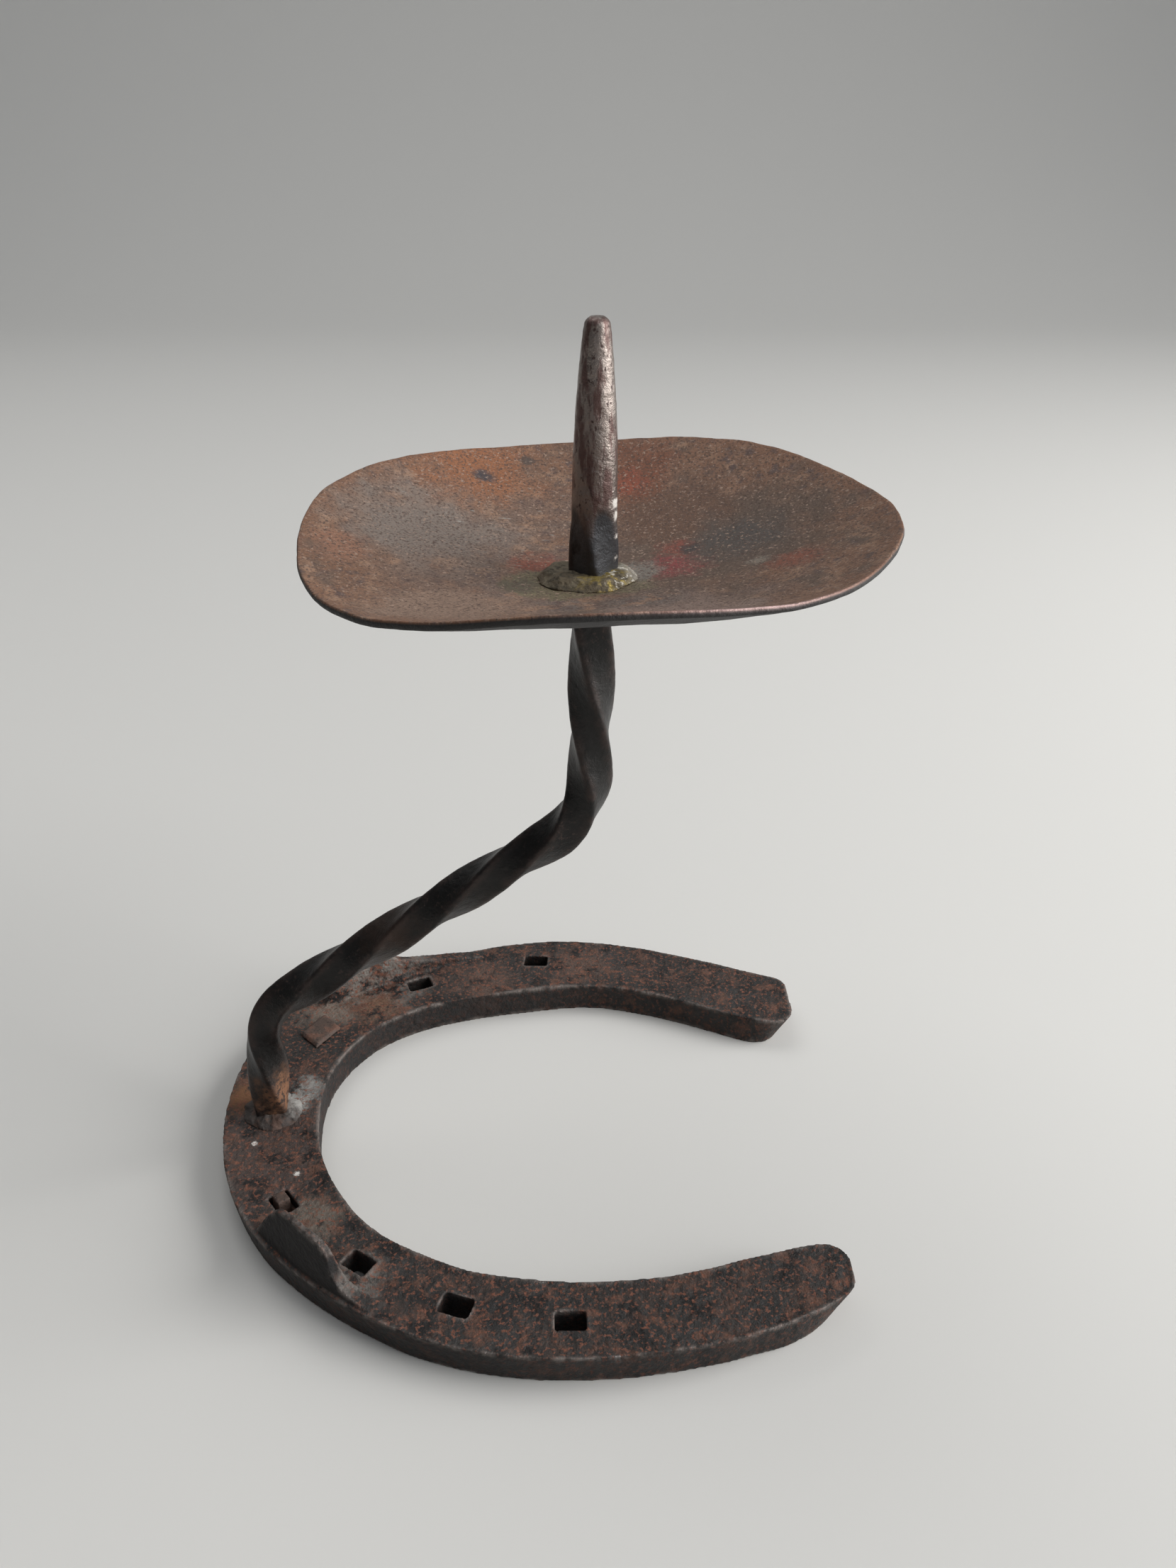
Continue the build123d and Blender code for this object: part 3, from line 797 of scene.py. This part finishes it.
        # hammer marks about 5 mm across, with finer ones about 1.4 mm across in them
        dents = grain(points, 5.0, 2, 11) * 0.7 + grain(points, 1.4, 2, 12) * 0.3
        points += outward * (dents * settings.hammering / MM)[:, None]
        ends = np.array([middle[0], middle[-1]])
        ends[1][2] = points[-self.around :, 2].max()
        last = len(points)
        faces = tube_faces(len(places), self.around)
        tip_ring = last - self.around
        for index in range(self.around):
            after = (index + 1) % self.around
            faces.append([after, index, last])
            faces.append([tip_ring + index, tip_ring + after, last + 1])
        points = np.concatenate([points, ends]) * MM + SHIFT
        arris = np.append(np.concatenate(masks["arris"]), [0.0, 0.0])
        drawn_out = np.append(np.concatenate(masks["drawn_out"]), [0.0, 1.0])
        finish_piece(
            "Twisted_bar_and_pricket", points, faces, blackened_bar_steel(settings), "twisted_stem",
            {"arris": arris, "drawn_out": drawn_out},
        )
        return {"FINISHED"}


class CANDLESTICK_OT_drip_pan(bpy.types.Operator):
    """Beat the drip pan: a dished sheet with a rolled edge, hammer marks and a square hole"""

    bl_idname = "candlestick.drip_pan"
    bl_label = "Drip pan"

    around = 400  # points in a ring
    rings = 90  # rings from the hole to the rim, on each side
    crowding = 0.9  # power that crowds the rings towards the rim
    lip_rings = 7  # rings round the edge of the sheet
    lip_bulge = 0.42  # how far the rounded edge stands out, in millimetres
    hole_turn = 0.4  # turn of the square hole, in radians
    rim_flats = 0.22  # depth of the small flats round the rim, in millimetres
    dent_widths = (3.0, 6.5)  # narrowest and widest hammer mark, in millimetres
    dents_from = (6.0, 20.0)  # distances from the middle over which they fade in, in millimetres
    sheet_waver = 0.1  # share by which the sheet's thickness varies round the pan
    skin_grain = 0.05  # height of the rusted skin's grain, in millimetres
    rubbed_and_glint_turn = (296.0, 17.0) # direction and half width of the rim's bright stretch of rubbed metal and painted highlight, in degrees
    seed = 7

    def execute(self, context):
        settings = context.scene.candlestick_pan
        rng = np.random.default_rng(self.seed)
        angles = np.linspace(0.0, 2 * pi, self.around, endpoint=False)
        bar_middle = np.array(BAR_AT_PAN) - np.array(PAN_MIDDLE)
        sheet = settings.sheet / MM
        radius = settings.radius / MM
        hole = settings.hole / MM / 2
        out = np.stack([np.cos(angles), np.sin(angles)], axis=-1)
        level = np.concatenate([out, 0 * angles[:, None]], axis=-1)
        rim = waves(radius, RIM_SWELL, angles) + self.rim_flats * grain(level, 0.16, 3, 21)
        rim_z = waves(PAN_RIM, RIM_LIFT, angles)
        turned = angles - self.hole_turn
        square = hole / np.maximum(np.abs(np.cos(turned)), np.abs(np.sin(turned)))
        hole_edge = square[:, None] * out + bar_middle
        rim_edge = rim[:, None] * out
        shares = (np.linspace(0.0, 1.0, self.rings) ** self.crowding)[:, None, None]
        plan = hole_edge[None] * (1 - shares) + rim_edge[None] * shares

        def inside_height(xy):
            """Height of the pan's inside over a level point, measured from the pan's middle."""
            angle = np.arctan2(xy[..., 1], xy[..., 0])
            share = np.hypot(xy[..., 0], xy[..., 1]) / waves(radius, RIM_SWELL, angle)
            return PAN_FLOOR + (waves(PAN_RIM, RIM_LIFT, angle) - PAN_FLOOR) * share**settings.dishing

        top = inside_height(plan)
        marks = rng.uniform(-1.0, 1.0, (settings.dents, 2)) * radius
        widths = rng.uniform(*self.dent_widths, settings.dents)
        depths = rng.uniform(-1.0, 1.0, settings.dents) * settings.dent_depth / MM
        beaten = np.zeros_like(top)
        for mark, width, depth in zip(marks, widths, depths):
            beaten += depth * np.exp(-((plan - mark) ** 2).sum(axis=-1) / (width * width))
        top = top + beaten * ease(np.hypot(plan[..., 0], plan[..., 1]), *self.dents_from)
        thin = sheet * (1.0 + self.sheet_waver * np.cos(3 * angles))
        upper = np.concatenate([plan, top[..., None]], axis=-1)
        lower = np.concatenate([plan, (top - thin)[..., None]], axis=-1)
        edge = []
        mid = (upper[-1, :, 2] + lower[-1, :, 2]) / 2
        half_sheet = (upper[-1, :, 2] - lower[-1, :, 2]) / 2
        for index in range(1, self.lip_rings + 1):
            turn = pi * index / (self.lip_rings + 1)
            lip = rim_edge + out * self.lip_bulge * sin(turn)
            edge.append(np.concatenate([lip, (mid + half_sheet * cos(turn))[:, None]], axis=-1))
        rings = list(upper) + edge + list(lower[::-1])
        points = np.concatenate(rings)
        count = len(rings)
        faces = tube_faces(count, self.around)
        first = np.arange(self.around)
        after = (first + 1) % self.around
        close = (count - 1) * self.around
        faces += np.stack([first, close + first, close + after, after], axis=-1).tolist()
        faces = [face[::-1] for face in faces]
        # the masks: rings are counted out from the hole, over the lip and back in below
        past_rim = np.repeat(np.arange(count), self.around) - float(self.rings)
        direction, width = self.rubbed_and_glint_turn
        front_right = np.exp(-((np.tile(angles, count) - radians(direction)) / radians(width)) ** 2)
        masks = {
            "arris": np.exp(-(((past_rim - self.lip_rings / 2) / 5.0) ** 2)),
            # painted shade on the underside
            "under": ease(past_rim, 0.4, 1.8),
            "middle": ease(np.hypot(points[:, 0], points[:, 1]) / radius, 0.95, 0.35),
            # rubbed metal with a painted highlight on the rim's front right
            "rim_glint_and_wear": front_right * np.exp(-((past_rim / 1.8) ** 2)),
        }
        points[:, 2] += self.skin_grain * grain(points, 2.5, 2, 23)
        points[:, :2] += np.array(PAN_MIDDLE)
        finish_piece(
            "Drip_pan_beaten", points * MM + SHIFT, faces, rusted_sheet_steel(settings), "drip_pan",
            masks,
        )
        return {"FINISHED"}


GRIP = 1.2  # how far the metal next to the bar runs in, in millimetres
GRIP_REACH = (7.2, 5.6)  # distances from the bar's middle over which it does


def lumpy_piece(name, node, voxel, easing, depth, lump, seed, material, bar=None):
    """A small piece with a fine skin over its frame node, its surface thrown up in lumps.

    Where bar gives the bar's middle, the metal runs in until it grips the bar.
    """
    mesh, points, normals = fine_skin(node, voxel, easing)
    points += normals * (grain(points, lump, 3, seed) * depth)[:, None]
    if bar is not None:
        inward = np.array(in_frame(*bar, 0.0))[:2] - points[:, :2]
        away = np.linalg.norm(inward, axis=1)
        points[:, :2] += inward * (GRIP * MM * between(away, GRIP_REACH) / away)[:, None]
    return finish_piece(name, points, faces_of(mesh), material, node, {})


class CANDLESTICK_OT_pan_braze(bpy.types.Operator):
    """Run the brass braze round the pricket's foot"""

    bl_idname = "candlestick.pan_braze"
    bl_label = "Pan braze"

    def execute(self, context):
        settings = context.scene.candlestick_joins
        lumpy_piece(
            "Pan_braze_brass", "pan_braze", settings.voxel, 8, settings.lumps, 3.2 * MM, 31,
            brazing_brass(settings), bar=BAR_AT_PAN,
        )
        return {"FINISHED"}


class CANDLESTICK_OT_foot_weld(bpy.types.Operator):
    """Lay the weld bead round the bar's foot"""

    bl_idname = "candlestick.foot_weld"
    bl_label = "Foot weld"

    def execute(self, context):
        settings = context.scene.candlestick_joins
        lumpy_piece(
            "Foot_weld_bead", "foot_weld", settings.voxel, 6, settings.lumps, 2.6 * MM, 41,
            weld_metal(settings), bar=BAR_AT_FOOT,
        )
        return {"FINISHED"}


class CANDLESTICK_OT_nail_stubs(bpy.types.Operator):
    """Leave the two broken nails in their holes"""

    bl_idname = "candlestick.nail_stubs"
    bl_label = "Nail stubs"

    spread = {"near": (0.0, 0.0), "far": (0.1, 0.5)}  # shares by which a head widens along and across
    head = (8.3, 8.9)  # heights between which it begins, in millimetres

    def execute(self, context):
        settings = context.scene.candlestick_joins
        material = nail_steel(settings)
        for seed, (side, widening) in enumerate(self.spread.items(), 51):
            stub = lumpy_piece(
                f"Nail_stub_{side}_side", f"nail_stub_{side}", settings.voxel, 2,
                0.25 * settings.lumps, 1.8 * MM, seed, material,
            )
            # a head is hammered wide over its hole
            low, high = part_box(f"nail_stub_{side}")
            middle = (low + high) / 2
            for vertex in stub.data.vertices:
                risen = float(between(vertex.co.z, self.head))
                for axis in range(2):
                    vertex.co[axis] += (vertex.co[axis] - middle[axis]) * widening[axis] * risen
        return {"FINISHED"}


class CANDLESTICK_OT_stage(bpy.types.Operator):
    """Set the pale sweep, the soft lights and the camera"""

    bl_idname = "candlestick.stage"
    bl_label = "Stage, lights and camera"

    # sizes and places in metres
    floor_front, floor_back = -3.0, 1.4  # where the flat floor begins and where it starts to turn up
    floor_half_width = 4.0
    sweep_radius = 1.2
    sweep_top = 4.0
    lamp_size = 1.2
    window_place = (1.22, -0.1, 0.64)
    fill_place = (-0.5, 0.6, 1.5)
    aim_at = (0.0, 0.0, 0.09)  # the candlestick's middle
    camera_place = (0.01625, -0.25383, 0.240)
    camera_tilt = 62.0  # degrees up from straight down
    camera_lens = 29.115  # millimetres, on a sensor this wide
    camera_sensor = 36.0

    def execute(self, context):
        settings = context.scene.candlestick_stage
        # a floor that turns up behind the candlestick in one smooth sweep
        back, radius = self.floor_back, self.sweep_radius
        profile = [(self.floor_front, 0.0), (back, 0.0)]
        turns = map(radians, range(5, 91, 5))
        profile += [(back + radius * sin(turn), radius - radius * cos(turn)) for turn in turns]
        profile += [(back + radius, self.sweep_top)]
        points = [(x, y, z) for y, z in profile for x in (-self.floor_half_width, self.floor_half_width)]
        faces = [[2 * i, 2 * i + 1, 2 * i + 3, 2 * i + 2] for i in range(len(profile) - 1)]
        mesh = bpy.data.meshes.new("Floor_sweep")
        mesh.from_pydata(points, [], faces)
        mesh.shade_smooth()
        mesh.materials.append(stage_paper(settings))
        floor = bpy.data.objects.new("Floor_sweep", mesh)
        context.scene.collection.objects.link(floor)
        for name, place, power in (
            ("Window", self.window_place, settings.window_power),
            ("Fill", self.fill_place, settings.fill_power),
        ):
            light = bpy.data.lights.new(name, "AREA")
            light.shape = "SQUARE"
            light.size = self.lamp_size
            light.energy = power
            lamp = bpy.data.objects.new(name, light)
            lamp.location = place
            aim = Vector(self.aim_at) - Vector(place)
            lamp.rotation_euler = aim.to_track_quat("-Z", "Y").to_euler()
            context.scene.collection.objects.link(lamp)
        world = bpy.data.worlds.new("Soft_room")
        world.use_nodes = True
        # the room is bright on the window's side and dim on the other
        tree = world.node_tree
        background = tree.nodes["Background"]
        background.inputs["Color"].default_value = linear("#e4e8ee")
        toward = add(tree, "ShaderNodeTexCoord").outputs["Generated"]
        facing = add(
            tree, "ShaderNodeVectorMath", {1: tuple(Vector(WINDOW_SIDE).normalized())}, {0: toward},
            operation="DOT_PRODUCT",
        )
        strength = add(
            tree, "ShaderNodeMapRange",
            {"From Min": -0.5, "From Max": 1.0, "To Min": settings.dim_sky, "To Max": settings.sky},
            {"Value": facing.outputs["Value"]}, interpolation_type="SMOOTHSTEP",
        )
        # what is seen of the room itself is plain and pale from every side
        seen_directly = add(tree, "ShaderNodeLightPath").outputs["Is Camera Ray"]
        seen = add(
            tree, "ShaderNodeMix", {3: settings.seen_sky}, {0: seen_directly, 2: strength.outputs[0]},
            data_type="FLOAT",
        )
        tree.links.new(seen.outputs[0], background.inputs["Strength"])
        context.scene.world = world
        camera = bpy.data.cameras.new("Camera")
        camera.lens = self.camera_lens
        camera.sensor_width = self.camera_sensor
        viewpoint = bpy.data.objects.new("Camera", camera)
        viewpoint.location = self.camera_place
        viewpoint.rotation_euler = (radians(self.camera_tilt), 0.0, 0.0)
        context.scene.collection.objects.link(viewpoint)
        context.scene.camera = viewpoint
        context.scene.view_settings.view_transform = "Standard"
        return {"FINISHED"}


# --- panel and registration
class CANDLESTICK_PT_panel(bpy.types.Panel):
    """Lists the candlestick's settings and the operators that build it"""

    bl_idname = "CANDLESTICK_PT_panel"
    bl_label = "Candlestick"
    bl_space_type = "VIEW_3D"
    bl_region_type = "UI"
    bl_category = "Candlestick"

    def draw(self, context):
        layout = self.layout
        for name, label, group in SETTINGS:
            box = layout.box()
            box.label(text=label)
            for prop in group.__annotations__:
                box.prop(getattr(context.scene, name), prop)
        for operator in OPERATORS:
            layout.operator(operator.bl_idname)


SETTINGS = [
    ("candlestick_shoe", "Horseshoe", ShoeSettings),
    ("candlestick_bar", "Twisted bar", BarSettings),
    ("candlestick_pan", "Drip pan", PanSettings),
    ("candlestick_joins", "Braze, weld and nails", JoinSettings),
    ("candlestick_stage", "Stage", StageSettings),
]
OPERATORS = [
    CANDLESTICK_OT_horseshoe,
    CANDLESTICK_OT_twisted_bar,
    CANDLESTICK_OT_drip_pan,
    CANDLESTICK_OT_pan_braze,
    CANDLESTICK_OT_foot_weld,
    CANDLESTICK_OT_nail_stubs,
    CANDLESTICK_OT_stage,
]


def register():
    """Makes the settings, operators and panel known to Blender."""
    for name, _, group in SETTINGS:
        bpy.utils.register_class(group)
        setattr(bpy.types.Scene, name, PointerProperty(type=group))
    for operator in OPERATORS:
        bpy.utils.register_class(operator)
    bpy.utils.register_class(CANDLESTICK_PT_panel)


def unregister():
    """Takes them away again."""
    bpy.utils.unregister_class(CANDLESTICK_PT_panel)
    for operator in reversed(OPERATORS):
        bpy.utils.unregister_class(operator)
    for name, _, group in reversed(SETTINGS):
        delattr(bpy.types.Scene, name)
        bpy.utils.unregister_class(group)


def main():
    """Builds the whole candlestick."""
    register()
    for operator in OPERATORS:
        family, name = operator.bl_idname.split(".")
        getattr(getattr(bpy.ops, family), name)()


if __name__ == "__main__":
    main()
